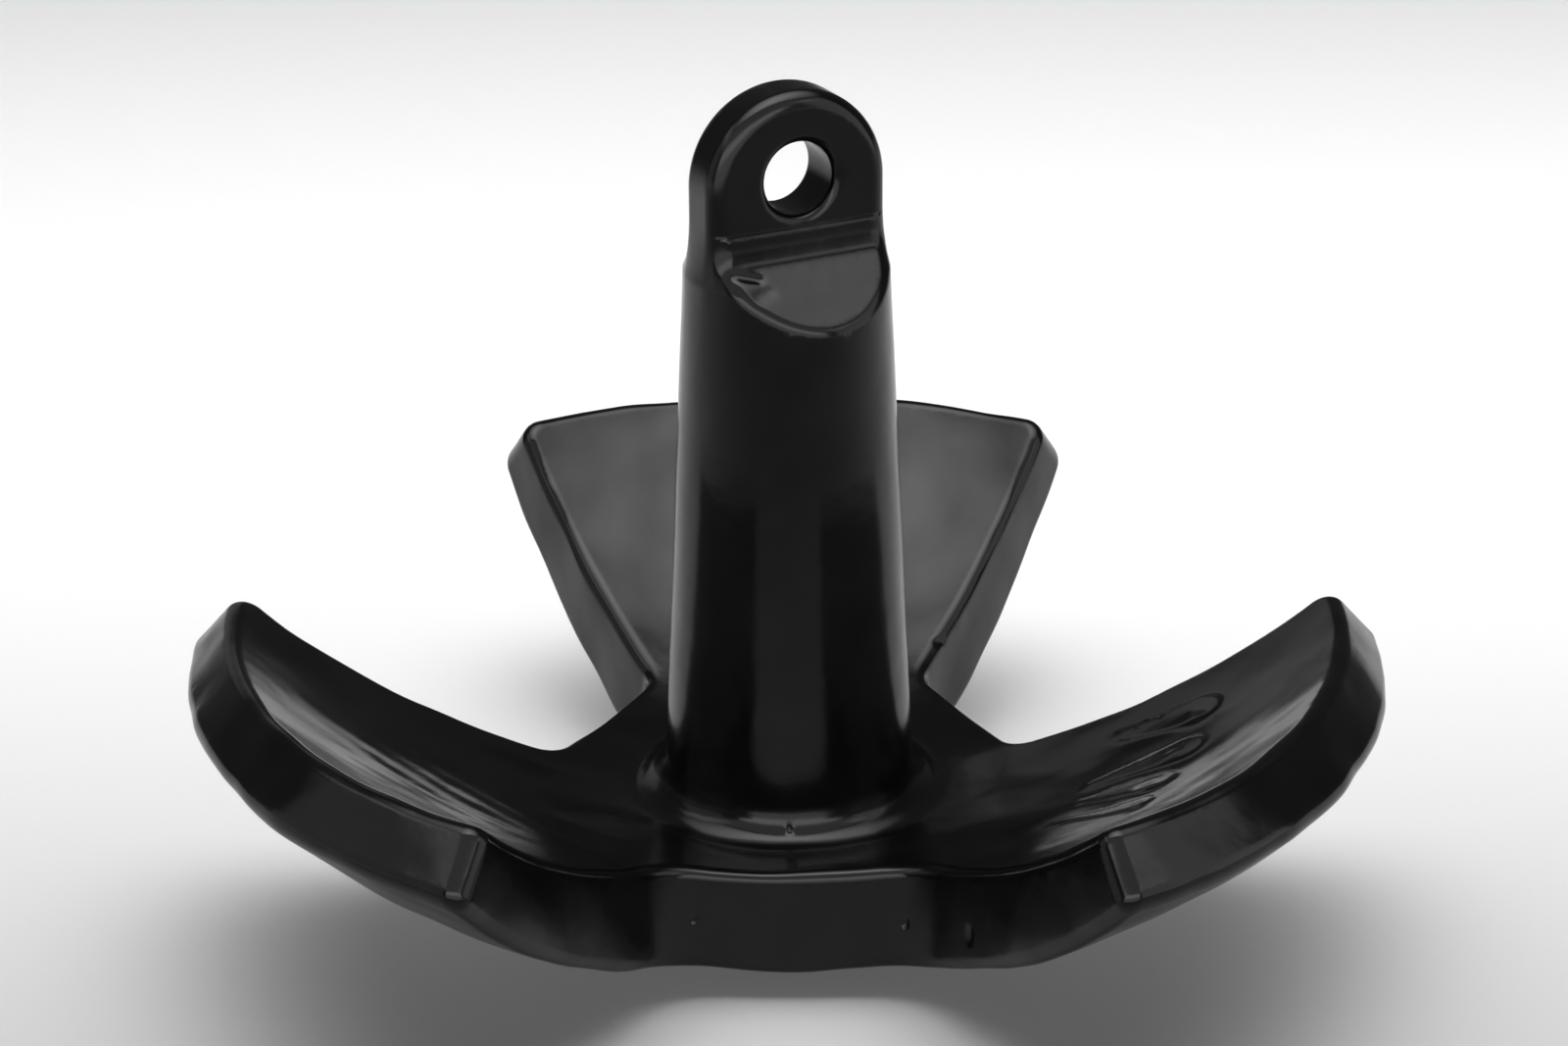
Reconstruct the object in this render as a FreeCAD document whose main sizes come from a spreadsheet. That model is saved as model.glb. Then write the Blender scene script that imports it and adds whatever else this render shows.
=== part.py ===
# River anchor: one iron casting with a thick dipped vinyl skin.
# A thick dished bowl is cut by three notches into three flukes.
# A tapered round shank stands in its middle and ends in a flat, arched eye tab.
# Frame: +Z up along the shank, origin at the middle of the flat spot under the bowl.
# One fluke points to +Y, the other two to the front left and the front right.

import FreeCAD, Part
import Sketcher
import os
from math import asin, atan2, cos, hypot, pi, radians, sin, tan

Vector = FreeCAD.Vector
UP = Vector(0, 0, 1)
NODE = "river_anchor"
TOLERANCE = 0.01

# Driving dimensions in millimetres and degrees: name, value, what it sizes.
SIZES = [
    ("dish_radius", 170, "hollow upper face of the bowl, part of a sphere"),
    ("hub_thickness", 21.6, "bottom of the dish above the flat base"),
    ("end_thickness", 15.8, "bowl at the fluke ends, square to the dish"),
    ("base_diameter", 45.6, "flat spot under the belly that the anchor stands on"),
    ("rim_radius", 115.2, "upper edge of the fluke ends, from the axis"),
    ("fluke_count", 3, "equal flukes around the shank"),
    ("notch_distance", 45.8, "flat bottom of a notch, from the axis"),
    ("notch_width", 40.2, "flat bottom of a notch before its corners are rounded"),
    ("notch_half_angle", 31, "slant of a notch wall from the notch's middle line"),
    ("root_corner", 7.3, "inner corners of a notch"),
    ("tip_corner", 6, "outer corners of a fluke seen from above"),
    ("upper_edge", 2.8, "rounding along the upper edges of the bowl"),
    ("lower_edge", 3, "rounding along the lower edges of the bowl"),
    ("foot_diameter", 54.4, "shank at its foot, inside the hub"),
    ("neck_diameter", 41.8, "shank just under its shoulder"),
    ("neck_height", 140.5, "start of the shoulder above the base"),
    ("shoulder_length", 9, "short cone that narrows the shank to the tab"),
    ("crown_inset", 1, "top of the shoulder inside the tab's sides"),
    ("foot_fillet", 5, "hollow blend of shank and dish"),
    ("tab_width", 39.2, "flat eye tab across, and its arch"),
    ("tab_thickness", 13.2, "eye tab through"),
    ("tab_turn", 26, "turn of the tab's plane from the X axis"),
    ("arch_rise", 18, "middle of the tab's arch above the neck"),
    ("tab_edge", 3.4, "rounding along the tab's edges"),
    ("ledge_rise", 5.5, "foot of the tab's flat faces above the neck"),
    ("ledge_slope", 40, "fall of a ledge away from the tab"),
    ("ledge_fillet", 3.3, "hollow corner between tab and ledge"),
    ("eye_diameter", 15, "through hole for the rope or shackle"),
    ("eye_rise", 1.9, "middle of the eye above the arch's middle"),
    ("eye_edge", 1.9, "rounding of the mouths of the eye"),
]
START = {name: value for name, value, note in SIZES}


def make_sheet(doc):
    """Spreadsheet with one aliased cell for each driving dimension."""
    sheet = doc.addObject("Spreadsheet::Sheet", "Sizes")
    for row, (name, value, note) in enumerate(SIZES, 1):
        sheet.set(f"A{row}", name)
        sheet.set(f"B{row}", str(value))
        sheet.set(f"C{row}", note)
        sheet.setAlias(f"B{row}", name)
    doc.recompute()


def new_sketch(body, name, plane, turn=None):
    """Sketch on an origin plane of the body, turned about Z by a formula if one is given."""
    sketch = body.newObject("Sketcher::SketchObject", name)
    base = [item for item in body.Origin.OriginFeatures if item.Role == plane][0]
    sketch.AttachmentSupport = (base, [""])
    sketch.MapMode = "FlatFace"
    if turn:
        sketch.AttachmentOffset = FreeCAD.Placement(Vector(), FreeCAD.Rotation(Vector(0, 1, 0), 1))
        sketch.setExpression("AttachmentOffset.Rotation.Angle", turn)
    return sketch


def add_line(sketch, start, end):
    return sketch.addGeometry(Part.LineSegment(Vector(*start), Vector(*end)), False)


def add_arc(sketch, centre, radius, first, last):
    """Arc from one angle to the other, counter-clockwise, in radians."""
    circle = Part.Circle(Vector(*centre), UP, radius)
    return sketch.addGeometry(Part.ArcOfCircle(circle, first, last), False)


def add_chain(sketch, points):
    """Closed chain of straight lines through the points, joined end to end."""
    lines = [add_line(sketch, points[i - 1], points[i]) for i in range(1, len(points))]
    lines.append(add_line(sketch, points[-1], points[0]))
    for i, item in enumerate(lines):
        tie(sketch, "Coincident", lines[i - 1], 2, item, 1)
    return lines


def tie(sketch, *terms):
    sketch.addConstraint(Sketcher.Constraint(*terms))


def measure(sketch, name, formula, value, *terms):
    """Named sketch dimension that follows a formula on the sheet."""
    index = sketch.addConstraint(Sketcher.Constraint(*terms, value))
    sketch.renameConstraint(index, name)
    sketch.setExpression(f"Constraints.{name}", formula)


def add_feature(body, kind, name, profile, formulas):
    """Feature on a sketch, with its sizes bound to formulas on the sheet."""
    feature = body.newObject(f"PartDesign::{kind}", name)
    feature.Profile = profile
    for size, formula in formulas.items():
        feature.setExpression(size, formula)
    return feature


def cut_through(body, name, profile):
    """Pocket through everything on both sides of its sketch."""
    pocket = add_feature(body, "Pocket", name, profile, {})
    pocket.Type = "ThroughAll"
    pocket.SideType = "Symmetric"
    return pocket


def border_edges(shape, test):
    """Names of the edges between two faces whose middle point passes the test."""
    names = []
    for number, edge in enumerate(shape.Edges, 1):
        middle = edge.valueAt((edge.FirstParameter + edge.LastParameter) / 2)
        if len(shape.ancestorsOfType(edge, Part.Face)) == 2 and test(middle):
            names.append(f"Edge{number}")
    return names


def round_edges(body, name, size, test):
    """Fillet on the edges that pass the test."""
    body.Document.recompute()
    base = body.Tip
    fillet = body.newObject("PartDesign::Fillet", name)
    fillet.Base = (base, border_edges(base.Shape, test))
    fillet.setExpression("Radius", f"Sizes.{size}")
    body.Document.recompute()


def near(value, target):
    return abs(value - target) < TOLERANCE


def from_axis(point):
    return hypot(point.x, point.y)


def add_tab(body):
    """Flat eye tab with an arched top, rounded all along its edges."""
    half = START["tab_width"] / 2
    top = START["neck_height"] + START["arch_rise"]
    foot = START["neck_height"] - half
    sketch = new_sketch(body, "TabOutline", "XZ_Plane", "Sizes.tab_turn")
    left = add_line(sketch, (-half, top), (-half, foot))
    bottom = add_line(sketch, (-half, foot), (half, foot))
    right = add_line(sketch, (half, foot), (half, top))
    arch = add_arc(sketch, (0, top), half, 0, pi)
    tie(sketch, "Coincident", left, 2, bottom, 1)
    tie(sketch, "Coincident", bottom, 2, right, 1)
    tie(sketch, "Tangent", right, 2, arch, 1)
    tie(sketch, "Tangent", arch, 2, left, 1)
    tie(sketch, "Vertical", left)
    tie(sketch, "PointOnObject", arch, 3, -2)
    tie(sketch, "Symmetric", bottom, 1, bottom, 2, -2)
    measure(sketch, "arch_radius", "Sizes.tab_width / 2", half, "Radius", arch)
    measure(sketch, "arch_middle", "Sizes.neck_height + Sizes.arch_rise", top,
            "DistanceY", -1, 1, arch, 3)
    measure(sketch, "foot_depth", "Sizes.neck_height - Sizes.tab_width / 2", foot,
            "DistanceY", -1, 1, bottom, 1)
    tab = add_feature(body, "Pad", "Tab", sketch, {"Length": "Sizes.tab_thickness"})
    tab.SideType = "Symmetric"
    round_edges(body, "TabEdges", "tab_edge", lambda p: not near(p.z, foot))


def add_shank(body):
    """Tapered shank: a round cone, then a short shoulder cone inside the tab's width."""
    foot, neck = START["foot_diameter"] / 2, START["neck_diameter"] / 2
    low, bend = START["hub_thickness"] / 2, START["neck_height"]
    top = bend + START["shoulder_length"]
    crown = START["tab_width"] / 2 - START["crown_inset"]
    sketch = new_sketch(body, "ShankProfile", "YZ_Plane")
    points = [(0, low), (foot, low), (neck, bend), (crown, top), (0, top)]
    bottom, cone, shoulder, lid = add_chain(sketch, points)[:-1]
    tie(sketch, "Horizontal", bottom)
    tie(sketch, "Horizontal", lid)
    tie(sketch, "PointOnObject", bottom, 1, -2)
    tie(sketch, "PointOnObject", lid, 2, -2)
    measure(sketch, "low", "Sizes.hub_thickness / 2", low, "DistanceY", -1, 1, bottom, 1)
    measure(sketch, "foot", "Sizes.foot_diameter / 2", foot, "DistanceX", bottom, 1, bottom, 2)
    measure(sketch, "neck", "Sizes.neck_diameter / 2", neck, "DistanceX", -1, 1, cone, 2)
    measure(sketch, "bend", "Sizes.neck_height", bend, "DistanceY", -1, 1, cone, 2)
    measure(sketch, "crown", "Sizes.tab_width / 2 - Sizes.crown_inset", crown,
            "DistanceX", -1, 1, shoulder, 2)
    measure(sketch, "rise", "Sizes.shoulder_length", top - bend, "DistanceY", cone, 2, shoulder, 2)
    shank = add_feature(body, "Revolution", "Shank", sketch, {})
    shank.ReferenceAxis = (sketch, ["V_Axis"])


def add_ledges(body):
    """Sloping ledge on each side of the tab, with a hollow corner at the tab's face."""
    face = START["tab_thickness"] / 2
    fall = radians(START["ledge_slope"])
    hollow = START["ledge_fillet"]
    corner = START["neck_height"] + START["ledge_rise"]
    top = START["neck_height"] + START["arch_rise"] + START["tab_width"]
    reach = face + START["neck_diameter"]
    turn_length = hollow * tan((pi / 2 - fall) / 2)
    start = (face, corner + turn_length)
    end = (face + turn_length * cos(fall), corner - turn_length * sin(fall))
    low = corner - (reach - face) * tan(fall)
    sketch = new_sketch(body, "LedgeProfile", "XZ_Plane", "Sizes.tab_turn - 90")
    wall = add_line(sketch, (face, top), start)
    arc = add_arc(sketch, (face + hollow, start[1]), hollow, pi, 1.5 * pi - fall)
    slope = add_line(sketch, end, (reach, low))
    side = add_line(sketch, (reach, low), (reach, top))
    lid = add_line(sketch, (reach, top), (face, top))
    tie(sketch, "Tangent", wall, 2, arc, 1)
    tie(sketch, "Tangent", arc, 2, slope, 1)
    tie(sketch, "Coincident", slope, 2, side, 1)
    tie(sketch, "Coincident", side, 2, lid, 1)
    tie(sketch, "Coincident", lid, 2, wall, 1)
    tie(sketch, "Vertical", wall)
    tie(sketch, "Vertical", side)
    tie(sketch, "Horizontal", lid)
    corner_point = sketch.addGeometry(Part.Point(Vector(face, corner)), True)
    tie(sketch, "PointOnObject", corner_point, 1, wall)
    tie(sketch, "PointOnObject", corner_point, 1, slope)
    measure(sketch, "face", "Sizes.tab_thickness / 2", face, "DistanceX", -1, 1, wall, 1)
    measure(sketch, "hollow", "Sizes.ledge_fillet", hollow, "Radius", arc)
    measure(sketch, "corner", "Sizes.neck_height + Sizes.ledge_rise", corner,
            "DistanceY", -1, 1, corner_point, 1)
    measure(sketch, "reach", "Sizes.tab_thickness / 2 + Sizes.neck_diameter", reach,
            "DistanceX", -1, 1, side, 1)
    measure(sketch, "top", "Sizes.neck_height + Sizes.arch_rise + Sizes.tab_width", top,
            "DistanceY", -1, 1, lid, 1)
    measure(sketch, "fall", "(90 - Sizes.ledge_slope) * 1deg", pi / 2 - fall, "Angle", side, 1, slope, 2)
    ledge = cut_through(body, "Ledge", sketch)
    both = body.newObject("PartDesign::Mirrored", "Ledges")
    both.Originals = [ledge]
    both.MirrorPlane = (sketch, ["V_Axis"])
    body.Tip = both


def add_eye(body):
    """Through hole in the tab with rounded mouths."""
    radius = START["eye_diameter"] / 2
    height = START["neck_height"] + START["arch_rise"] + START["eye_rise"]
    sketch = new_sketch(body, "EyeCircle", "XZ_Plane", "Sizes.tab_turn")
    eye = sketch.addGeometry(Part.Circle(Vector(0, height), UP, radius), False)
    tie(sketch, "PointOnObject", eye, 3, -2)
    measure(sketch, "eye_radius", "Sizes.eye_diameter / 2", radius, "Radius", eye)
    measure(sketch, "eye_middle", "Sizes.neck_height + Sizes.arch_rise + Sizes.eye_rise", height,
            "DistanceY", -1, 1, eye, 3)
    cut_through(body, "Eye", sketch)

    def on_mouth(point):
        turn = radians(START["tab_turn"])
        along = point.x * cos(turn) + point.y * sin(turn)
        return near(hypot(along, point.z - height), radius)

    round_edges(body, "EyeMouths", "eye_edge", on_mouth)


def dish_shape():
    """Middle of the dish's sphere, and the slant of the fluke ends, which point to it."""
    middle = START["hub_thickness"] + START["dish_radius"]
    return middle, asin(START["rim_radius"] / START["dish_radius"])


def end_corner(depth):
    """Corner of the fluke ends at a depth under the dish: distance from the axis and height."""
    middle, slant = dish_shape()
    reach = START["dish_radius"] + depth
    return reach * sin(slant), middle - reach * cos(slant)


def belly_shape():
    """Middle and radius of the belly, which runs from the base to the lower end corner."""
    base = START["base_diameter"] / 2
    out, up = end_corner(START["end_thickness"])
    middle = (out ** 2 + up ** 2 - base ** 2) / (2 * up)
    return middle, hypot(base, middle)


def add_bowl(body):
    """Thick dished bowl of revolution: sphere above, sphere below, end square to the dish."""
    dish, hub, end = START["dish_radius"], START["hub_thickness"], START["end_thickness"]
    base, rim = START["base_diameter"] / 2, START["rim_radius"]
    middle, slant = dish_shape()
    belly_middle, belly = belly_shape()
    high, low = end_corner(0), end_corner(end)
    sketch = new_sketch(body, "BowlProfile", "YZ_Plane")
    flat = add_line(sketch, (0, 0), (base, 0))
    under = add_arc(sketch, (0, belly_middle), belly,
                    atan2(-belly_middle, base), atan2(low[1] - belly_middle, low[0]))
    face = add_line(sketch, low, high)
    over = add_arc(sketch, (0, middle), dish, -pi / 2, slant - pi / 2)
    axis = add_line(sketch, (0, hub), (0, 0))
    tie(sketch, "Coincident", flat, 1, -1, 1)
    tie(sketch, "Horizontal", flat)
    tie(sketch, "Coincident", flat, 2, under, 1)
    tie(sketch, "Coincident", under, 2, face, 1)
    tie(sketch, "Coincident", face, 2, over, 2)
    tie(sketch, "Coincident", over, 1, axis, 1)
    tie(sketch, "Coincident", axis, 2, flat, 1)
    tie(sketch, "PointOnObject", over, 1, -2)
    tie(sketch, "PointOnObject", over, 3, -2)
    tie(sketch, "PointOnObject", under, 3, -2)
    tie(sketch, "PointOnObject", over, 3, face)
    measure(sketch, "base", "Sizes.base_diameter / 2", base, "DistanceX", flat, 1, flat, 2)
    measure(sketch, "hub", "Sizes.hub_thickness", hub, "DistanceY", axis, 2, axis, 1)
    measure(sketch, "dish", "Sizes.dish_radius", dish, "Radius", over)
    measure(sketch, "end", "Sizes.end_thickness", end, "Distance", face)
    measure(sketch, "rim", "Sizes.rim_radius", rim, "DistanceX", -1, 1, face, 2)
    bowl = add_feature(body, "Revolution", "Bowl", sketch, {})
    bowl.ReferenceAxis = (sketch, ["V_Axis"])


def add_notches(body):
    """Notches between the flukes: flat bottom, slanted walls, open past the rim."""
    depth, half = START["notch_distance"], START["notch_width"] / 2
    reach = START["rim_radius"] + 2 * START["end_thickness"]
    mouth = half + (reach - depth) * tan(radians(START["notch_half_angle"]))
    sketch = new_sketch(body, "NotchOutline", "XY_Plane")
    points = [(half, -depth), (-half, -depth), (-mouth, -reach), (mouth, -reach)]
    bottom, left, outside, right = add_chain(sketch, points)
    tie(sketch, "Symmetric", bottom, 1, bottom, 2, -2)
    tie(sketch, "Symmetric", outside, 1, outside, 2, -2)
    measure(sketch, "width", "Sizes.notch_width", 2 * half, "Distance", bottom)
    measure(sketch, "depth", "Sizes.notch_distance", depth, "DistanceY", bottom, 1, -1, 1)
    measure(sketch, "reach", "Sizes.rim_radius + 2 * Sizes.end_thickness", reach,
            "DistanceY", outside, 1, -1, 1)
    measure(sketch, "slant", "(90 + Sizes.notch_half_angle) * 1deg",
            pi / 2 + radians(START["notch_half_angle"]), "Angle", bottom, 1, right, 2)
    notch = cut_through(body, "Notch", sketch)
    notches = body.newObject("PartDesign::PolarPattern", "Notches")
    notches.Originals = [notch]
    notches.Axis = (sketch, ["N_Axis"])
    notches.Angle = 360
    notches.setExpression("Occurrences", "Sizes.fluke_count")
    body.Tip = notches
    root = hypot(depth, half)
    round_edges(body, "RootCorners", "root_corner", lambda p: near(from_axis(p), root))


def round_bowl(body):
    """Rounded fluke corners, then the shank's foot and the long edges above and below."""
    middle, slant = dish_shape()
    belly_middle, belly = belly_shape()
    hub = (START["foot_diameter"] / 2 + START["notch_distance"]) / 2

    def on_sphere(point, height, radius):
        return near(hypot(from_axis(point), point.z - height), radius)

    def on_dish(point):
        return on_sphere(point, middle, START["dish_radius"])

    def on_belly(point):
        return on_sphere(point, belly_middle, belly)

    def on_end(point):
        """True on the short edges of a fluke's end face, which are on neither sphere."""
        off_cone = from_axis(point) * cos(slant) - (middle - point.z) * sin(slant)
        return near(off_cone, 0) and not on_dish(point) and not on_belly(point)

    round_edges(body, "TipCorners", "tip_corner", on_end)
    round_edges(body, "FootFillet", "foot_fillet", lambda p: on_dish(p) and from_axis(p) < hub)
    round_edges(body, "UpperEdges", "upper_edge", lambda p: on_dish(p) and from_axis(p) > hub)
    round_edges(body, "LowerEdges", "lower_edge", lambda p: on_belly(p) and from_axis(p) > hub)


def check(doc, body):
    """Stops when a feature failed, a sketch is loose or the solid is not sound."""
    for item in doc.Objects:
        if "Invalid" in item.State or "Error" in item.State:
            raise RuntimeError(f"{item.Name} failed: {item.State}")
        if item.isDerivedFrom("Sketcher::SketchObject") and not item.FullyConstrained:
            raise RuntimeError(f"{item.Name} is not fully constrained")
    shape = body.Shape
    if shape.isNull() or not shape.isValid() or len(shape.Solids) != 1:
        raise RuntimeError("the anchor is not one sound solid")
    print(f"{NODE}: {len(shape.Faces)} faces, {shape.Volume / 1000:.1f} cm3, {shape.BoundBox}")


def main():
    doc = FreeCAD.newDocument("RiverAnchor")
    make_sheet(doc)
    body = doc.addObject("PartDesign::Body", "Anchor")
    body.Label = NODE
    add_tab(body)
    add_shank(body)
    add_ledges(body)
    add_eye(body)
    add_bowl(body)
    add_notches(body)
    round_bowl(body)
    doc.recompute()
    check(doc, body)
    os.makedirs("parts", exist_ok=True)
    body.Shape.exportStep(f"parts/{NODE}.step")


main()
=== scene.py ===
# %% [markdown]
# # A cast river anchor under a thick black vinyl dip
#
# The anchor is one iron casting: a heavy dished bowl cut by three notches into three flukes, a tapered
# round shank in its middle, and a flat eye tab on top. It was hung on a hook and dipped in liquid vinyl,
# which ran over every edge and set to a smooth, glossy skin.
#
# The CAD model gives the size and the place of everything. This file only gives it its looks: the soft
# flow of one face into the next, the small faults of the casting, and the way that black vinyl shines.

import bmesh
import bpy
import numpy as np
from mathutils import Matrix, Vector


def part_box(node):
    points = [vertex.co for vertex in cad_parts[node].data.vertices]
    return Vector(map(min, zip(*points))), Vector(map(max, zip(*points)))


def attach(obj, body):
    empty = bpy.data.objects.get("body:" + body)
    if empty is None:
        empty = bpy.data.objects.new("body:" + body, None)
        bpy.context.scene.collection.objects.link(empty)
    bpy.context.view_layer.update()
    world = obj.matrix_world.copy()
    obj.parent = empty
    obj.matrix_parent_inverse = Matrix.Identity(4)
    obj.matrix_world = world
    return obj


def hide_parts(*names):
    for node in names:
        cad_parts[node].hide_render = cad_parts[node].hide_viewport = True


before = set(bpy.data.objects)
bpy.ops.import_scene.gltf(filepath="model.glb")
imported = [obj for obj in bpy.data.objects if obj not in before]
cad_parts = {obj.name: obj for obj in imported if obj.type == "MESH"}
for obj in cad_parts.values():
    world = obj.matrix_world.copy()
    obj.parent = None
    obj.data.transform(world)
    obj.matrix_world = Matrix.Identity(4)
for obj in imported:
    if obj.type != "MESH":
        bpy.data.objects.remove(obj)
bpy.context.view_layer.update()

# %% [markdown]
# ## The sizes
#
# All shapes are worked out in millimetres, the unit in which a pattern maker thinks, and only the finished
# mesh is turned into metres. +Z runs up the shank, and the origin is the middle of the flat spot under the
# bowl. The three notches between the flukes open to the front and to the back left and right. The front
# notch of this casting has larger root corners and crisper tips than the other two.

# %% Sizes of the casting in millimetres and degrees
MILLIMETRE = 0.001
DISH_RADIUS = 170.0
HUB_THICKNESS = 21.6
END_THICKNESS = 15.8
BASE_RADIUS = 22.8
RIM_RADIUS = 115.2
NOTCH_DISTANCE = 45.8
NOTCH_WIDTH = 40.2
NOTCH_ANGLE = np.radians(30.9)
NOTCH_TURNS = np.radians([-90.0, 30.0, 150.0])
FLUKE_TURNS = np.radians([210.0, 330.0, 90.0])
DRAFT = 0.07
ROOT_CORNERS = (14.0, 7.3, 7.3)
TIP_CORNER = 5.5
FRONT_TIP_CORNER = 3.9
FRONT_TIPS_BETWEEN = (20.0, 60.0)
UPPER_EDGE = 2.8
LOWER_EDGE = 3.0

FOOT_RADIUS = 27.2
NECK_RADIUS = 20.9
NECK_HEIGHT = 140.5
SHOULDER_LENGTH = 9.0
SHOULDER_INSET = 1.0
FOOT_FILLET = 8.0

TAB_WIDTH = 39.2
TAB_THICKNESS = 13.2
TAB_TURN = np.radians(26.0)
ARCH_HEIGHT = 158.5
TAB_EDGE = 3.4
TAB_JOIN = 2.0
LEDGE_HEIGHT = 146.0
LEDGE_SLOPE = np.radians(40.0)
LEDGE_FILLET = 7.5
LEDGE_RIM = 3.0
LEDGE_RIM_COSINE = 0.9
EYE_RADIUS = 7.5
EYE_HEIGHT = 160.4
EYE_EDGE = 1.9
print(f"bowl: {2 * RIM_RADIUS * (1 + END_THICKNESS / DISH_RADIUS):.0f} mm across its lower edge")

# %% [markdown]
# No casting is as even as its drawing. The three notches of this one are cut a little apart from each
# other, and its flukes end a millimetre or so further out or in. Each list has one value for each notch or
# fluke, in the order of the turns above. The shank leans by the two values of its lean, to the right and to
# the back, for each millimetre of height. Along the lower edge of the flukes' ends the dip gathered and dried
# as a slightly uneven bead, with so many waves to a full turn.

# %% How far this casting is from an even one, in millimetres
NOTCH_SHIFT = (3.2, 1.0, 0.7)
LEFT_WALL_SHIFT = (-3.6, -0.1, 0.8)
RIGHT_WALL_SHIFT = (-3.9, 3.8, 0.4)
END_SHIFT = (0.8, -1.2, 0.6)
END_SKEW = (1.6, 0.0, 0.15)
FLUKE_LIFT = (0.8, 0.2, 1.3)
LEAN = (-0.0046, -0.0017)
BEAD_HEIGHT = 0.035
BEAD_WIDTH = 3.5
BEAD_COUNTS = (31, 43, 67)

# %% [markdown]
# ## Faces that flow into each other
#
# Grids of two parameters are good for single sheets, such as a tube or a dish. A casting is different: its
# faces end on each other in rounded edges and hollow corners, and a grid can't follow them all. So the
# whole anchor is written as one distance formula. At any point it says how far outside the surface that
# point is, with negative numbers inside. Two faces are put together with one of three small rules.

# %% Three rules that put two faces together
def rounded_edge(first, second, radius, cosine=0.0):
    """Outside corner of two faces, rounded.

    The larger of the two distances would give a sharp edge. Near the edge it is the distance to an arc
    instead: with a and b measured from the arc's middle and c the cosine between the faces' normals,
    sqrt((a a - 2 a b c + b b) / (1 - c c)) - radius.
    """
    a, b = first + radius, second + radius
    reach = np.sqrt(np.maximum(a * a - 2 * cosine * a * b + b * b, 0) / (1 - cosine ** 2))
    on_arc = (a > cosine * b) & (b > cosine * a)
    return np.where(on_arc, reach - radius, np.maximum(first, second))


def hollow_corner(first, second, radius, cosine=0.0):
    """Inside corner of two faces with a hollow blend: the rounded edge turned inside out."""
    return -rounded_edge(-first, -second, radius, cosine)


def soft_join(first, second, width):
    """The nearer of two faces, with a parabola in place of the crease where they are within width."""
    share = np.clip(0.5 + 0.5 * (second - first) / width, 0, 1)
    return second + (first - second) * share - width * share * (1 - share)


# %% [markdown]
# ## The bowl
#
# The dish and the belly are parts of two spheres. The flukes end in a cone that is square to the dish, and
# each notch has a flat bottom and two slanted walls. The walls lean outwards below the dish, which is the
# draft that lets a pattern out of its sand mould. Only the order of the rules matters: first the plan,
# then its tips, then the upper and the lower edge.

# %% The bowl's formula
def by_fluke(angle, values):
    """Blend of a value for each fluke: it counts by cos(angle - the fluke's turn) squared on its own side."""
    return sum(value * np.maximum(np.cos(angle - turn), 0) ** 2 for value, turn in zip(values, FLUKE_TURNS))


def end_skew(angle):
    """Fluke ends a little askew: skew times cos squared times sin of the angle from the fluke's middle."""
    return sum(
        skew * np.maximum(np.cos(angle - turn), 0) ** 2 * np.sin(angle - turn)
        for skew, turn in zip(END_SKEW, FLUKE_TURNS)
    )


def notch_distance(x, y, notch, draft):
    """Distance outside the iron round one notch: bottom and both walls, with hollow corners between them."""
    turn = NOTCH_TURNS[notch]
    out = x * np.cos(turn) + y * np.sin(turn)
    side = y * np.cos(turn) - x * np.sin(turn)
    opening = NOTCH_WIDTH / 2 * np.cos(NOTCH_ANGLE) + (out - NOTCH_DISTANCE) * np.sin(NOTCH_ANGLE)
    bottom = out - NOTCH_DISTANCE - NOTCH_SHIFT[notch] + draft
    left = opening - (side + LEFT_WALL_SHIFT[notch]) * np.cos(NOTCH_ANGLE) + draft
    right = opening - (RIGHT_WALL_SHIFT[notch] - side) * np.cos(NOTCH_ANGLE) + draft
    corner = hollow_corner(bottom, left, ROOT_CORNERS[notch], np.sin(NOTCH_ANGLE))
    return hollow_corner(corner, right, ROOT_CORNERS[notch], np.sin(NOTCH_ANGLE))


def bowl_distance(x, y, z):
    """Distance outside the bowl: between two spheres, inside the end cone and outside three notches.

    The bead is a sum of sines of the turn, times exp(-(end squared + belly squared) / width squared), so it
    is only there where both distances are small, along the lower edge.
    """
    from_axis, angle = np.hypot(x, y), np.arctan2(y, x)
    z = z - by_fluke(angle, FLUKE_LIFT) * (from_axis / RIM_RADIUS) ** 2
    middle = HUB_THICKNESS + DISH_RADIUS
    slant = np.arcsin(RIM_RADIUS / DISH_RADIUS)
    low_out = (DISH_RADIUS + END_THICKNESS) * np.sin(slant)
    low_up = middle - (DISH_RADIUS + END_THICKNESS) * np.cos(slant)
    belly_middle = (low_out ** 2 + low_up ** 2 - BASE_RADIUS ** 2) / (2 * low_up)
    dish = DISH_RADIUS - np.hypot(from_axis, z - middle)
    belly = np.hypot(from_axis, z - belly_middle) - np.hypot(BASE_RADIUS, belly_middle)
    end = from_axis * np.cos(slant) - (middle - z) * np.sin(slant)
    end = end - by_fluke(angle, END_SHIFT) - end_skew(angle)
    near_lower_edge = np.exp(-(end ** 2 + belly ** 2) / BEAD_WIDTH ** 2)
    bead = BEAD_HEIGHT * near_lower_edge * sum(np.sin(count * angle + count) for count in BEAD_COUNTS)
    end, belly = end - bead, belly - bead
    plan = np.maximum.reduce([notch_distance(x, y, notch, DRAFT * dish) for notch in range(3)])
    tip_corner = np.interp(-y, FRONT_TIPS_BETWEEN, (TIP_CORNER, FRONT_TIP_CORNER))
    outline = rounded_edge(plan, end, tip_corner)
    return rounded_edge(rounded_edge(outline, dish, UPPER_EDGE), belly, LOWER_EDGE)


# %% [markdown]
# ## The shank and its eye tab
#
# The shank is a long cone with a short, steeper one for its shoulder. Two sloping ledges cut its top down
# to the thickness of the tab, and a hollow corner lies where ledge and tab meet. The tab is a slab with an
# arched outline. All its edges are rounded by the same rule, and so are the mouths of the eye.

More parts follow.
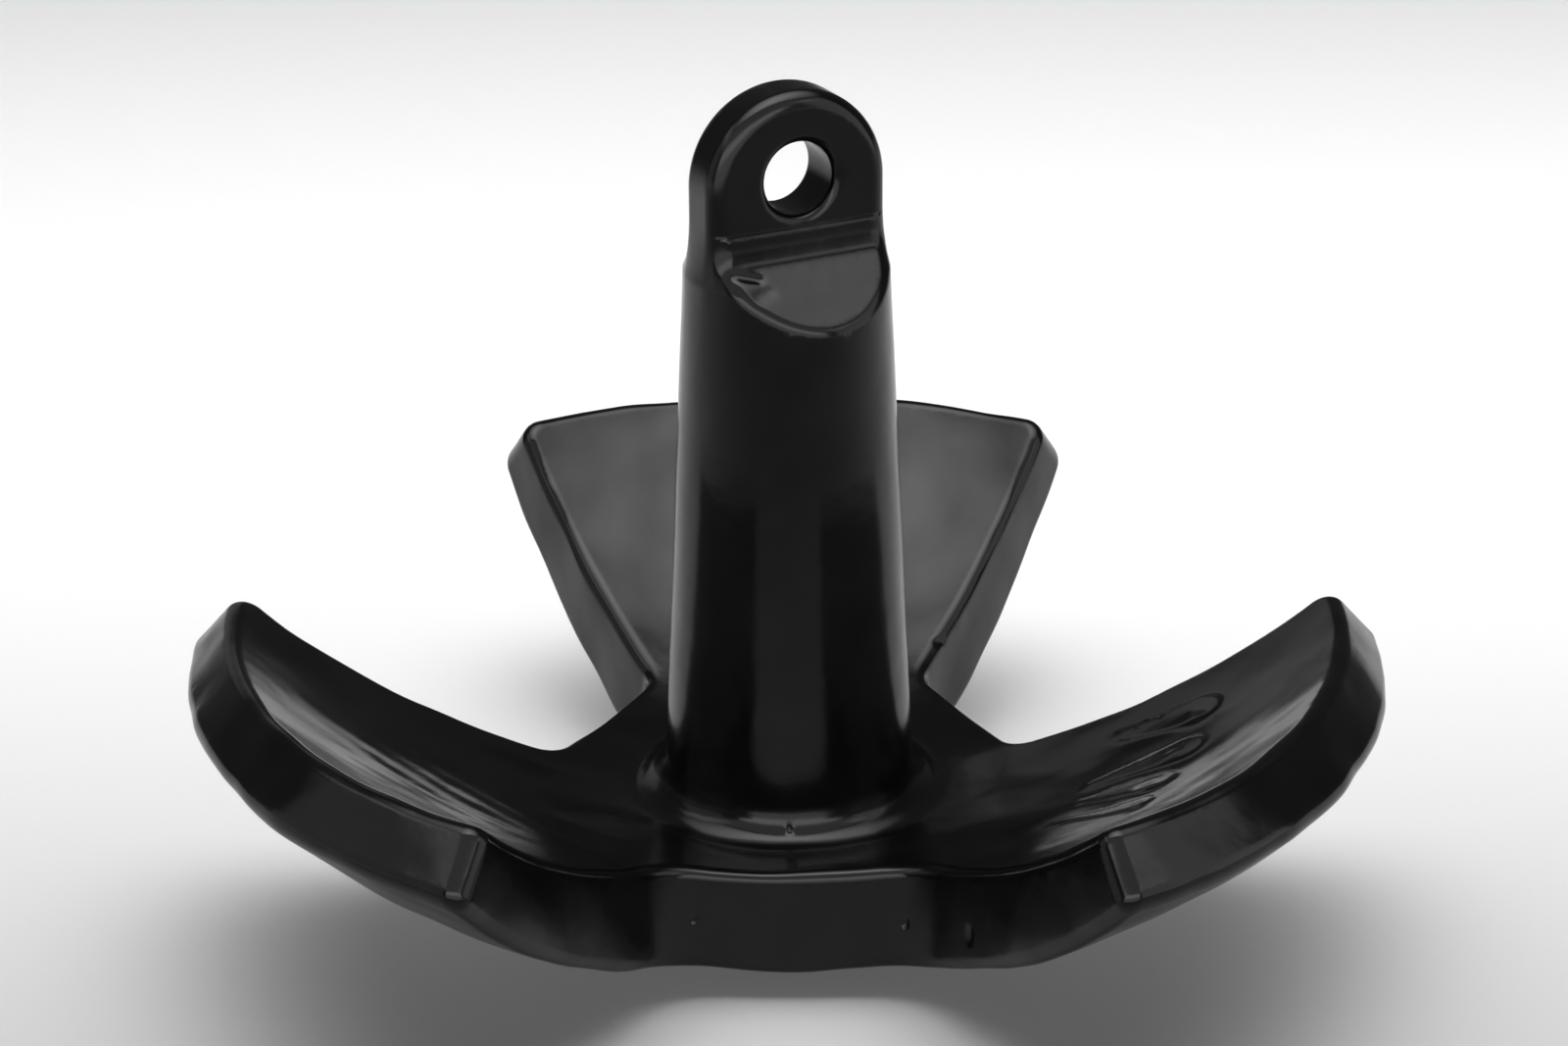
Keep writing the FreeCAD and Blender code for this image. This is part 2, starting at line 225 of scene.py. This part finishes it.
# %% The shank's formula
def shank_distance(x, y, z):
    """Distance outside the shank and tab: a cut-down cone joined to a slab that has a round hole."""
    x = x - LEAN[0] * (z - HUB_THICKNESS)
    y = y - LEAN[1] * (z - HUB_THICKNESS)
    from_axis = np.hypot(x, y)
    low = HUB_THICKNESS / 2
    taper = (FOOT_RADIUS - NECK_RADIUS) / (NECK_HEIGHT - low)
    crown = TAB_WIDTH / 2 - SHOULDER_INSET
    narrowing = (NECK_RADIUS - crown) / SHOULDER_LENGTH
    cone = (from_axis - FOOT_RADIUS + taper * (z - low)) / np.hypot(1, taper)
    shoulder = (from_axis - NECK_RADIUS + narrowing * (z - NECK_HEIGHT)) / np.hypot(1, narrowing)
    side = np.maximum(cone, shoulder)

    across = x * np.cos(TAB_TURN) + y * np.sin(TAB_TURN)
    through = np.abs(x * np.sin(TAB_TURN) - y * np.cos(TAB_TURN))
    face = through - TAB_THICKNESS / 2
    ledge = (z - LEDGE_HEIGHT) * np.cos(LEDGE_SLOPE) + face * np.sin(LEDGE_SLOPE)
    top = hollow_corner(ledge, face, LEDGE_FILLET, np.sin(LEDGE_SLOPE))
    cosine = np.clip(np.sin(LEDGE_SLOPE) * through / np.maximum(from_axis, 1), 0, LEDGE_RIM_COSINE)
    stem = rounded_edge(side, top, LEDGE_RIM, cosine)
    stem = np.maximum(np.maximum(stem, z - NECK_HEIGHT - SHOULDER_LENGTH), low - z)

    above = z - ARCH_HEIGHT
    outline = np.where(above > 0, np.hypot(across, above), np.abs(across)) - TAB_WIDTH / 2
    tab = rounded_edge(outline, face, TAB_EDGE)
    tab = np.maximum(tab, NECK_HEIGHT - TAB_WIDTH / 2 - z)
    eye = EYE_RADIUS - np.hypot(across, z - EYE_HEIGHT)
    tab = rounded_edge(tab, eye, EYE_EDGE)
    return soft_join(stem, tab, TAB_JOIN)


# %% [markdown]
# ## The faults that the dip left
#
# A black mirror shows every fault. Each kind of fault is a height in millimetres, which is added to the
# formula, so that it is true geometry. Thick vinyl ran inwards over the right fluke in four fingers. Each is
# given by the places of its head and its tail as seen from above, and by half its width at both.

# %% Fingers
FINGERS = (
    ((84.5, -9.5), (71.0, -5.0), 5.6, 2.6),
    ((80.0, -26.0), (62.0, -24.0), 4.8, 1.6),
    ((73.0, -38.5), (59.5, -31.5), 4.6, 1.5),
    ((68.5, -49.5), (54.0, -40.5), 3.2, 1.2),
)
FINGER_HEIGHT = 0.42
FINGER_EDGE = 0.65
FINGER_THINNING = 0.4
FINGER_DEPTH = 6.0
FINGER_HEADS = ((83.8, -13.2), (78.0, -27.4), (71.2, -40.9), (68.3, -52.8))
HEAD_HEIGHT = 0.3
HEAD_WIDTH = 2.4


def along_line(point, start, end):
    """Share of the way along the line from start to end, kept within 0 and 1, and the distance from it."""
    start, end = np.array(start), np.array(end)
    line = end - start
    share = np.clip(((point - start) @ line) / (line @ line), 0, 1)
    return share, np.linalg.norm(point - start - share[..., None] * line, axis=-1)


def fingers(points):
    """Flat-topped runs that narrow inwards: height times (1 - tanh((distance - width) / edge)) / 2.

    Each has a low round knob on its head, of height exp(-(distance / width) squared). Both fade out below
    the dish by exp(-(depth / FINGER_DEPTH) to the fourth), so that the belly has none.
    """
    plan, height, knobs = points[..., :2], 0.0, 0.0
    for head, tail, head_width, tail_width in FINGERS:
        share, away = along_line(plan, head, tail)
        width = head_width + (tail_width - head_width) * share
        run = 0.5 - 0.5 * np.tanh((away - width) / FINGER_EDGE)
        height = np.maximum(height, FINGER_HEIGHT * (1 - FINGER_THINNING * share) * run)
    for middle in FINGER_HEADS:
        away = np.linalg.norm(plan - np.array(middle), axis=-1)
        knobs = knobs + HEAD_HEIGHT * np.exp(-((away / HEAD_WIDTH) ** 2))
    from_axis = np.hypot(points[..., 0], points[..., 1])
    depth = DISH_RADIUS - np.hypot(from_axis, points[..., 2] - HUB_THICKNESS - DISH_RADIUS)
    return (height + knobs) * np.exp(-((depth / FINGER_DEPTH) ** 4))


# %% [markdown]
# The dip left a leaf-shaped dent on the front ledge, made by two short hollows, and bubbles left a pit here
# and there. Each is given by the two ends of its line, its width and its depth.

# %% Dents and pits
DENTS = (
    ((-10.6, -15.4, 143.8), (-6.4, -14.4, 142.4), 1.2, 0.35),
    ((-6.2, -17.6, 139.8), (-4.6, -16.2, 140.4), 1.7, 0.25),
    ((34.3, 50.8, 32.8), (35.6, 51.6, 32.2), 1.0, 0.45),
    ((-0.3, -27.0, 27.2), (-0.3, -27.4, 27.0), 0.8, 0.5),
    ((-20.0, -49.8, 19.2), (-20.1, -49.8, 18.7), 0.7, 0.6),
    ((22.7, -50.7, 18.8), (22.8, -50.7, 18.0), 0.7, 0.6),
    ((34.3, -65.4, 24.6), (34.4, -65.4, 22.8), 0.9, 0.6),
)


def dents(points):
    """Hollows along short lines in space: depth exp(-(distance / width) squared)."""
    depth = 0.0
    for start, end, width, size in DENTS:
        share, away = along_line(points, start, end)
        depth = depth + size * np.exp(-((away / width) ** 2))
    return -depth


# %% [markdown]
# On the left fluke the vinyl ran slowly and drew long flat waves, less than a tenth of a millimetre high.
# Only the mirror image of the ceiling shows them, as a fan of thin bright lines.

# %% Streaks
STREAK_MIDDLE = (-67.0, -38.0)
STREAK_TURN = np.radians(-28.0)
STREAK_LENGTH = 6.5
STREAK_HEIGHT = 0.08
STREAK_REACH = (24.0, 13.0)
STREAK_BEND = 0.8
STREAK_BEND_LENGTH = 9.0


def streaks(points):
    """Long flat waves on the left fluke: a sine across them, bent a little, that fades out to all sides."""
    x, y = points[..., 0] - STREAK_MIDDLE[0], points[..., 1] - STREAK_MIDDLE[1]
    along = x * np.cos(STREAK_TURN) + y * np.sin(STREAK_TURN)
    across = y * np.cos(STREAK_TURN) - x * np.sin(STREAK_TURN)
    wave = np.sin(2 * np.pi * across / STREAK_LENGTH + STREAK_BEND * np.sin(along / STREAK_BEND_LENGTH))
    return STREAK_HEIGHT * wave * np.exp(-((along / STREAK_REACH[0]) ** 2) - (across / STREAK_REACH[1]) ** 2)


# %% [markdown]
# The bowl is wavy all over by a few hundredths of a millimetre, and the shank, which hung upright in the dip,
# much less.

# %% Waviness
WAVINESS = 0.0026
WAVE_LENGTHS = (13.0, 17.0, 19.0, 23.0, 29.0, 37.0)
WAVE_TURN_STEP = 2.4
WAVE_TILT = 0.9
WAVE_TILT_STEP = 1.7
WAVE_START_STEP = 1.3
CALM_FROM_AXIS = (28.0, 45.0)
CALM_SHARES = (0.2, 1.0)


def waviness(points):
    """Sum of sine waves in many directions, each as high as its length times a small number.

    The turn and tilt of their ways and their starts go in steps that never meet, in radians. Near the axis
    the waves fall to a fifth, so that the shank stays smooth.
    """
    height = 0.0
    for number, length in enumerate(WAVE_LENGTHS * 2):
        turn, tilt = WAVE_TURN_STEP * number, WAVE_TILT * np.sin(WAVE_TILT_STEP * number)
        way = np.array([np.cos(turn) * np.cos(tilt), np.sin(turn) * np.cos(tilt), np.sin(tilt)])
        height = height + length * np.sin(2 * np.pi * (points @ way) / length + WAVE_START_STEP * number)
    from_axis = np.hypot(points[..., 0], points[..., 1])
    return WAVINESS * height * np.interp(from_axis, CALM_FROM_AXIS, CALM_SHARES)


# %% [markdown]
# ## The whole anchor
#
# The foot of the shank flows into the dish with a hollow blend, and a flat is ground off underneath, on
# which the anchor stands.

# %% The anchor's formula
def anchor_distance(points):
    """Distance outside the anchor in millimetres, for an array whose last axis is x, y, z."""
    x, y, z = points[..., 0], points[..., 1], points[..., 2]
    solid = hollow_corner(bowl_distance(x, y, z), shank_distance(x, y, z), FOOT_FILLET)
    faults = fingers(points) + dents(points) + streaks(points) + waviness(points)
    return np.maximum(solid - faults, -z)


eye_middle = np.array([[0.0, 0.0, EYE_HEIGHT]])
print(f"middle of the eye: {anchor_distance(eye_middle)[0]:.1f} mm outside the surface")

# %% [markdown]
# ## From a formula to a mesh
#
# Space is cut into small cubes. Every cube that has corners on both sides of the surface holds one vertex,
# and every grid edge that crosses the surface gets one face through the four cubes around it. That net is
# closed, and its faces can all be turned outwards, because it is known which end of the edge is inside.

# %% Net over a distance formula
def net_of(distance, lowest, highest, step):
    """Vertices and faces of the net where the distance is 0, by cubes with the given step.

    A cube holds a vertex in its middle if its eight corners aren't all on one side. An edge from a grid
    point p along one axis gives the face p, p - u, p - u - v, p - v of cubes, u and v being the other axes.
    """
    axes = [np.arange(low - 2 * step, high + 2 * step, step) for low, high in zip(lowest, highest)]
    grid = np.stack(np.meshgrid(*axes, indexing="ij"), -1)
    inside = np.stack([distance(sheet) for sheet in grid]) < 0
    eight = [
        inside[i:inside.shape[0] - 1 + i, j:inside.shape[1] - 1 + j, k:inside.shape[2] - 1 + k]
        for i in (0, 1) for j in (0, 1) for k in (0, 1)
    ]
    count = np.sum(eight, axis=0)
    mixed = (count > 0) & (count < 8)
    number = np.full(count.shape, -1)
    number[mixed] = np.arange(mixed.sum())
    vertices = grid[:-1, :-1, :-1][mixed] + step / 2
    faces = []
    for axis in range(3):
        ahead = np.roll(inside, -1, axis)
        for leaving in (True, False):
            edges = np.argwhere((inside != ahead) & (inside == leaving))
            u, v = np.eye(3, dtype=int)[[(axis + 1) % 3, (axis + 2) % 3]]
            cubes = [edges, edges - u, edges - u - v, edges - v]
            face = np.stack([number[tuple(cube.T)] for cube in cubes], -1)
            faces.append(face if leaving else face[:, ::-1])
    return vertices, np.concatenate(faces)


# %% [markdown]
# The net is only roughly on the surface. The formula's slope shows the way there, and it is also the
# direction of the surface's normal. Sliding along it and evening out in between make the net smooth.

# %% Slope, normals, sliding and evening out
def slope_of(distance, points, reach=0.02):
    """Slope of the distance formula at the points: differences over a short reach along each axis."""
    ahead = [distance(points + step) for step in np.eye(3) * reach]
    behind = [distance(points - step) for step in np.eye(3) * reach]
    return (np.stack(ahead, -1) - np.stack(behind, -1)) / (2 * reach)


def normal_of(distance, points):
    """Outward normals of the surface: the slope, made one unit long."""
    slope = slope_of(distance, points)
    return slope / np.linalg.norm(slope, axis=-1)[:, None]


def slide_on(distance, points, longest=0.6, flattest=0.2):
    """Points moved onto the surface by one Newton step: back along the slope by distance / slope squared."""
    slope = slope_of(distance, points)
    steepness = np.maximum((slope ** 2).sum(-1), flattest)
    move = np.clip(distance(points) / steepness, -longest, longest)
    return points - move[:, None] * slope


def evened(points, edges, share=0.5):
    """Each point moved by a share of the way to the mean of its neighbours along the edges."""
    start, end = np.concatenate([edges, edges[:, ::-1]]).T
    count = np.bincount(start, minlength=len(points))
    total = np.stack([np.bincount(start, points[end, i], minlength=len(points)) for i in range(3)], -1)
    return points + share * (total / count[:, None] - points)


# %% [markdown]
# Blender keeps a mesh's points in metres, as one long row of numbers. Two helpers read them into a table in
# millimetres and write them back. A third one settles the mesh: it evens the points out and slides them back
# on the surface in turns, so that the faces become alike in size while the shape stays true.

# %% Read, write and settle a mesh's points
def read_points(mesh):
    """The mesh's points in millimetres and the two ends of each edge."""
    points, edges = np.empty(3 * len(mesh.vertices), np.float32), np.empty(2 * len(mesh.edges), np.int32)
    mesh.vertices.foreach_get("co", points)
    mesh.edges.foreach_get("vertices", edges)
    return points.reshape(-1, 3).astype(float) / MILLIMETRE, edges.reshape(-1, 2)


def write_points(mesh, points):
    """Points in millimetres written to the mesh in metres."""
    mesh.vertices.foreach_set("co", (points * MILLIMETRE).astype(np.float32).ravel())
    mesh.update()


def settle(mesh, rounds):
    """Even the mesh out on the anchor's surface in a number of rounds, then slide it on twice more."""
    points, edges = read_points(mesh)
    for _ in range(rounds):
        points = slide_on(anchor_distance, evened(points, edges))
    for _ in range(2):
        points = slide_on(anchor_distance, points)
    write_points(mesh, points)
    print(f"{mesh.name}: {len(points)} points, {np.abs(anchor_distance(points)).max():.4f} mm off at most")


# %% [markdown]
# A rounded edge of 3 mm needs points half a millimetre apart to carry a clean highlight, and the flat walls
# need only a tenth as many. So the net starts coarse.

# %% Start coarse
NET_STEP = 2.2
FIRST_ROUNDS = 12
lowest, highest = (np.array(corner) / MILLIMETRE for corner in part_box("river_anchor"))
points, faces = net_of(anchor_distance, lowest, highest, NET_STEP)
mesh = bpy.data.meshes.new("dipped_anchor")
mesh.from_pydata(points * MILLIMETRE, [], faces)
mesh.validate()
settle(mesh, FIRST_ROUNDS)

# %% [markdown]
# Then its faces are cut in four wherever the surface turns by more than a few degrees between neighbouring
# points. The pits are so small that an edge can step over one without turning, so the faces near them are
# cut in any case.

# %% Finer where the surface bends
FINER_TURNS = np.radians([11.0, 11.0])
LATER_ROUNDS = 3
NEAR_DENT = 2.5


def finer_where_bent(mesh, turn):
    """Cut in four each face at a dent, or with an edge along which the normal turns by more than an angle."""
    points, edges = read_points(mesh)
    start, end = edges.T
    normals = normal_of(anchor_distance, points)
    halfway = normal_of(anchor_distance, (points[start] + points[end]) / 2)
    likeness = np.minimum((normals[start] * normals[end]).sum(-1), 2 * (normals[start] * halfway).sum(-1) - 1)
    from_dent = np.min([along_line(points, *dent[:2])[1] for dent in DENTS], axis=0)
    bent = (likeness < np.cos(turn)) | (from_dent[start] < NEAR_DENT)
    cells = bmesh.new()
    cells.from_mesh(mesh)
    cells.edges.ensure_lookup_table()
    beside = [face for index in np.flatnonzero(bent) for face in cells.edges[index].link_faces]
    chosen = {edge for face in beside for edge in face.edges}
    bmesh.ops.subdivide_edges(cells, edges=list(chosen), cuts=1, use_grid_fill=True)
    cells.to_mesh(mesh)
    cells.free()


for turn in FINER_TURNS:
    finer_where_bent(mesh, turn)
    settle(mesh, LATER_ROUNDS)
corners = np.empty(len(mesh.polygons), np.int32)
mesh.polygons.foreach_get("loop_total", corners)
print(f"faces: {len(corners)}, as triangles: {(corners - 2).sum()}")

# %% [markdown]
# A normal that Blender averages from the faces around a point is slightly wrong beside a rounded edge, and a
# black mirror shows it as a jagged highlight. The formula knows the true normal of each point, so the mesh
# gets that one.

# %% Smooth shading with the formula's own normals
mesh.polygons.foreach_set("use_smooth", np.ones(len(mesh.polygons), dtype=bool))
mesh.normals_split_custom_set_from_vertices(normal_of(anchor_distance, read_points(mesh)[0]))
anchor = bpy.data.objects.new("dipped_anchor", mesh)
bpy.context.scene.collection.objects.link(anchor)
print(f"{anchor.name}: {len(mesh.vertices)} normals from the formula")

# %% [markdown]
# ## The skin
#
# Dipped vinyl is a soft PVC with carbon black. It is a plain insulator to light: almost no light comes back
# out of the black, and what shows is the studio mirrored in its surface, faintly from the front and strongly
# at a glancing angle. Two helpers come first: one turns a colour as picked on a screen into the linear one
# that a renderer counts with, and one adds a shader node with its settings and links.

# %% Colour and node helpers
def linear(code):
    """Linear colour of an sRGB hex code."""
    parts = np.array([int(code[i:i + 2], 16) for i in (1, 3, 5)]) / 255
    return (*np.where(parts <= 0.04045, parts / 12.92, ((parts + 0.055) / 1.055) ** 2.4), 1.0)


def add_node(tree, kind, settings=None, links=None):
    """Node of a kind. Settings are its properties or sockets by name, and links its inputs by name."""
    node = tree.nodes.new(kind)
    for name, value in (settings or {}).items():
        if hasattr(node, name):
            setattr(node, name, value)
        else:
            node.inputs[name].default_value = value
    for name, output in (links or {}).items():
        tree.links.new(output, node.inputs[name])
    return node


# %% [markdown]
# The vinyl sets with a faint swell and a few dull patches, which keep the mirror images soft, and its black
# is cloudy by a shade of blue. Its orange peel is finer than half a millimetre, too fine to show at this
# size, so it is drawn 1.5 mm long, and very low.

# %% Black dipped vinyl
BLACK = "#040404"
BLUE_BLACK = "#0b0b0e"
BLACK_BETWEEN = (0.35, 0.7)
CLOUD_LENGTH = 12 * MILLIMETRE
VINYL_IOR = 1.5
SHINY = 0.14
HAZY = 0.23
HAZE_BETWEEN = (0.3, 0.7)
HAZE_LENGTH = 35 * MILLIMETRE
SWELL_LENGTH = 9 * MILLIMETRE
SWELL_HEIGHT = 0.6 * MILLIMETRE
SWELL_STRENGTH = 0.25
PEEL_LENGTH = 1.5 * MILLIMETRE
PEEL_HEIGHT = 0.1 * MILLIMETRE
PEEL_STRENGTH = 0.12


def dipped_vinyl():
    """Glossy black plastisol: clouds in its colour, dull patches in its gloss, a swell and orange peel."""
    material = bpy.data.materials.new("black_dipped_vinyl")
    material.use_nodes = True
    tree = material.node_tree
    tree.nodes.clear()
    place = {"Vector": add_node(tree, "ShaderNodeTexCoord").outputs["Object"]}
    clouds = add_node(tree, "ShaderNodeTexNoise", {"Scale": 1 / CLOUD_LENGTH, "Detail": 4.0}, place)
    black = add_node(tree, "ShaderNodeValToRGB", None, {"Fac": clouds.outputs["Fac"]})
    for stop, position, colour in zip(black.color_ramp.elements, BLACK_BETWEEN, (BLACK, BLUE_BLACK)):
        stop.position, stop.color = position, linear(colour)
    haze = add_node(tree, "ShaderNodeTexNoise", {"Scale": 1 / HAZE_LENGTH, "Detail": 3.0}, place)
    gloss = add_node(
        tree, "ShaderNodeMapRange",
        {"From Min": HAZE_BETWEEN[0], "From Max": HAZE_BETWEEN[1], "To Min": SHINY, "To Max": HAZY},
        {"Value": haze.outputs["Fac"]},
    )
    swell = add_node(tree, "ShaderNodeTexNoise", {"Scale": 1 / SWELL_LENGTH, "Detail": 1.0}, place)
    peel = add_node(tree, "ShaderNodeTexNoise", {"Scale": 1 / PEEL_LENGTH, "Detail": 2.0}, place)
    soft = add_node(
        tree, "ShaderNodeBump", {"Strength": SWELL_STRENGTH, "Distance": SWELL_HEIGHT},
        {"Height": swell.outputs["Fac"]},
    )
    fine = add_node(
        tree, "ShaderNodeBump", {"Strength": PEEL_STRENGTH, "Distance": PEEL_HEIGHT},
        {"Height": peel.outputs["Fac"], "Normal": soft.outputs["Normal"]},
    )
    skin = add_node(
        tree, "ShaderNodeBsdfPrincipled", {"IOR": VINYL_IOR},
        {
            "Base Color": black.outputs["Color"], "Roughness": gloss.outputs["Result"],
            "Normal": fine.outputs["Normal"],
        },
    )
    add_node(tree, "ShaderNodeOutputMaterial", None, {"Surface": skin.outputs["BSDF"]})
    return material


anchor.data.materials.append(dipped_vinyl())
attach(anchor, "root")
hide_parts("river_anchor")

# %% [markdown]
# ## The studio
#
# Black gloss shows nothing but its surroundings, so they make the picture. The anchor stands on plain pale
# card. A wide soft box with a grid hangs over it: the grid keeps most of the light from going out sideways,
# so the card in front of the anchor is dimmer, and so is its mirror image in the shank. Uncoated card is
# matt, so it mirrors nothing itself.

# %% Floor
CARD_GREY = "#dcdcdc"
CARD_ROUGHNESS = 0.8
HALF_CARD = 3.0


def pale_card(half):
    """One square of pale card at height 0, from -half to half metres both ways."""
    mesh = bpy.data.meshes.new("floor")
    corners = [(-half, -half, 0), (half, -half, 0), (half, half, 0), (-half, half, 0)]
    mesh.from_pydata(corners, [], [(0, 1, 2, 3)])
    material = bpy.data.materials.new("pale_card")
    material.use_nodes = True
    tree = material.node_tree
    tree.nodes.clear()
    paper = add_node(
        tree, "ShaderNodeBsdfPrincipled", {"Base Color": linear(CARD_GREY), "Roughness": CARD_ROUGHNESS},
    )
    add_node(tree, "ShaderNodeOutputMaterial", None, {"Surface": paper.outputs["BSDF"]})
    mesh.materials.append(material)
    floor = bpy.data.objects.new("floor", mesh)
    bpy.context.scene.collection.objects.link(floor)
    return floor


floor = pale_card(HALF_CARD)

# %% [markdown]
# Each box of light is given by its place in metres, the way it faces, its width and depth in metres, and its
# brightness. The room's own light is faint and comes from everywhere.

# %% Lights
OVERHEAD_BOX = ((0.15, 0.22, 1.0), (0, 0, -1), (1.9, 0.95), 1.05)
OVERHEAD_GRID = np.radians(90.0)
MIRRORED_BOXES = {
    "ceiling_in_front": ((0.0, -0.8, 1.0), (0, 0, -1), (2.5, 0.9), 0.85),
    "ceiling_left": ((-1.05, -0.1, 1.0), (0, 0, -1), (0.4, 1.2), 1.2),
    "front_box": ((0.0, -1.25, 0.72), (0, 1, 0), (2.5, 0.56), 2.9),
    "front_card": ((0.0, -1.25, 0.22), (0, 1, 0), (2.5, 0.44), 1.4),
    "right_card": ((1.25, -0.4, 0.5), (-1, 0, 0), (1.0, 1.7), 1.15),
    "left_card": ((-1.25, -0.2, 0.5), (1, 0, 0), (1.0, 2.0), 0.5),
    "back_left_card": ((-0.6, 1.25, 0.4), (0, -1, 0), (0.9, 0.6), 0.35),
}
CARD_WASHES = {
    "wash_behind": ((0.5, 1.52, 1.0), (0, 0, -1), (6.0, 3.0), 0.55),
    "wash_far_in_front": ((0.0, -1.9, 1.0), (0, 0, -1), (6.0, 2.2), 0.9),
    "wash_left": ((-2.0, -0.4, 1.0), (0, 0, -1), (2.6, 0.8), 0.8),
    "wash_right": ((2.0, -0.4, 1.0), (0, 0, -1), (2.6, 0.8), 0.8),
}
WASH_GRID = np.radians(40.0)
ROOM_LIGHT = 0.13


def soft_box(name, place, facing, size, brightness):
    """Rectangular light in metres. An even box of radiance L and area A gives a power of pi A L."""
    data = bpy.data.lights.new(name, "AREA")
    data.shape = "RECTANGLE"
    data.size, data.size_y = size
    data.energy = np.pi * size[0] * size[1] * brightness
    box = bpy.data.objects.new(name, data)
    box.location = place
    box.rotation_mode = "QUATERNION"
    box.rotation_quaternion = Vector(facing).to_track_quat("-Z", "Y")
    bpy.context.scene.collection.objects.link(box)
    return box


soft_box("overhead_box", *OVERHEAD_BOX).data.spread = OVERHEAD_GRID

# %% [markdown]
# The other boxes are there for their mirror images, and light linking keeps them off the card, as black
# flags would in a real studio. Four washes of light are for the card alone. They leave out the place in
# front of the anchor, and the anchor throws no shadow in them, so the ground stays pale under it.

# %% Boxes for the anchor alone, and washes for the card alone
only_anchor = bpy.data.collections.new("only_anchor")
only_anchor.objects.link(anchor)
for name, settings in MIRRORED_BOXES.items():
    soft_box(name, *settings).light_linking.receiver_collection = only_anchor

only_card = bpy.data.collections.new("only_card")
only_card.objects.link(floor)
for name, settings in CARD_WASHES.items():
    wash = soft_box(name, *settings)
    wash.data.spread = WASH_GRID
    wash.light_linking.receiver_collection = only_card
    wash.light_linking.blocker_collection = only_card
print(f"lights: 1 for all, {len(MIRRORED_BOXES)} for the anchor alone, {len(CARD_WASHES)} for the card alone")

world = bpy.data.worlds.new("studio")
world.use_nodes = True
world.node_tree.nodes["Background"].inputs["Color"].default_value = (1, 1, 1, 1)
world.node_tree.nodes["Background"].inputs["Strength"].default_value = ROOM_LIGHT
bpy.context.scene.world = world

# %% [markdown]
# The photograph was printed with more contrast than the eye sees, with its ground burnt out to white. The
# view's gamma of 1 / 1.2 does the same.

# %% Print contrast
bpy.context.scene.view_settings.view_transform = "Standard"
bpy.context.scene.view_settings.gamma = 1 / 1.2

# %% [markdown]
# ## The camera
#
# The photograph looks down at the anchor by 23.5 degrees, from about 0.72 m. Its lens is 2.23 picture
# widths long, which is 80 mm on a sensor 36 mm wide. The angles are in radians. The shank's foot lies 5
# pixels right of the picture's middle, which a slight shift of the lens brings about.

# %% Camera
SENSOR_WIDTH = 36.0
VIEW_DISTANCE = 0.7240
VIEW_ELEVATION = 0.40965
VIEW_TURN = 0.0130
AIM = Vector((0.0, 0.0, 0.0842))
FOCAL_PIXELS = 3566.0
PICTURE_WIDTH = 1600
AXIS_PIXEL = 805.4

camera_data = bpy.data.cameras.new("camera")
camera_data.sensor_width = SENSOR_WIDTH
camera_data.lens = FOCAL_PIXELS / PICTURE_WIDTH * SENSOR_WIDTH
camera_data.shift_x = 0.5 - AXIS_PIXEL / PICTURE_WIDTH
camera = bpy.data.objects.new("camera", camera_data)
back = Vector((
    -np.cos(VIEW_ELEVATION) * np.sin(VIEW_TURN),
    -np.cos(VIEW_ELEVATION) * np.cos(VIEW_TURN),
    np.sin(VIEW_ELEVATION),
))
camera.location = AIM + back * VIEW_DISTANCE
camera.rotation_mode = "QUATERNION"
camera.rotation_quaternion = (-back).to_track_quat("-Z", "Y")
camera_data.clip_start, camera_data.clip_end = 0.01, 20.0
bpy.context.scene.collection.objects.link(camera)
bpy.context.scene.camera = camera
print(f"camera: lens of {camera_data.lens:.1f} mm, {VIEW_DISTANCE:.3f} m from the point that it looks at")
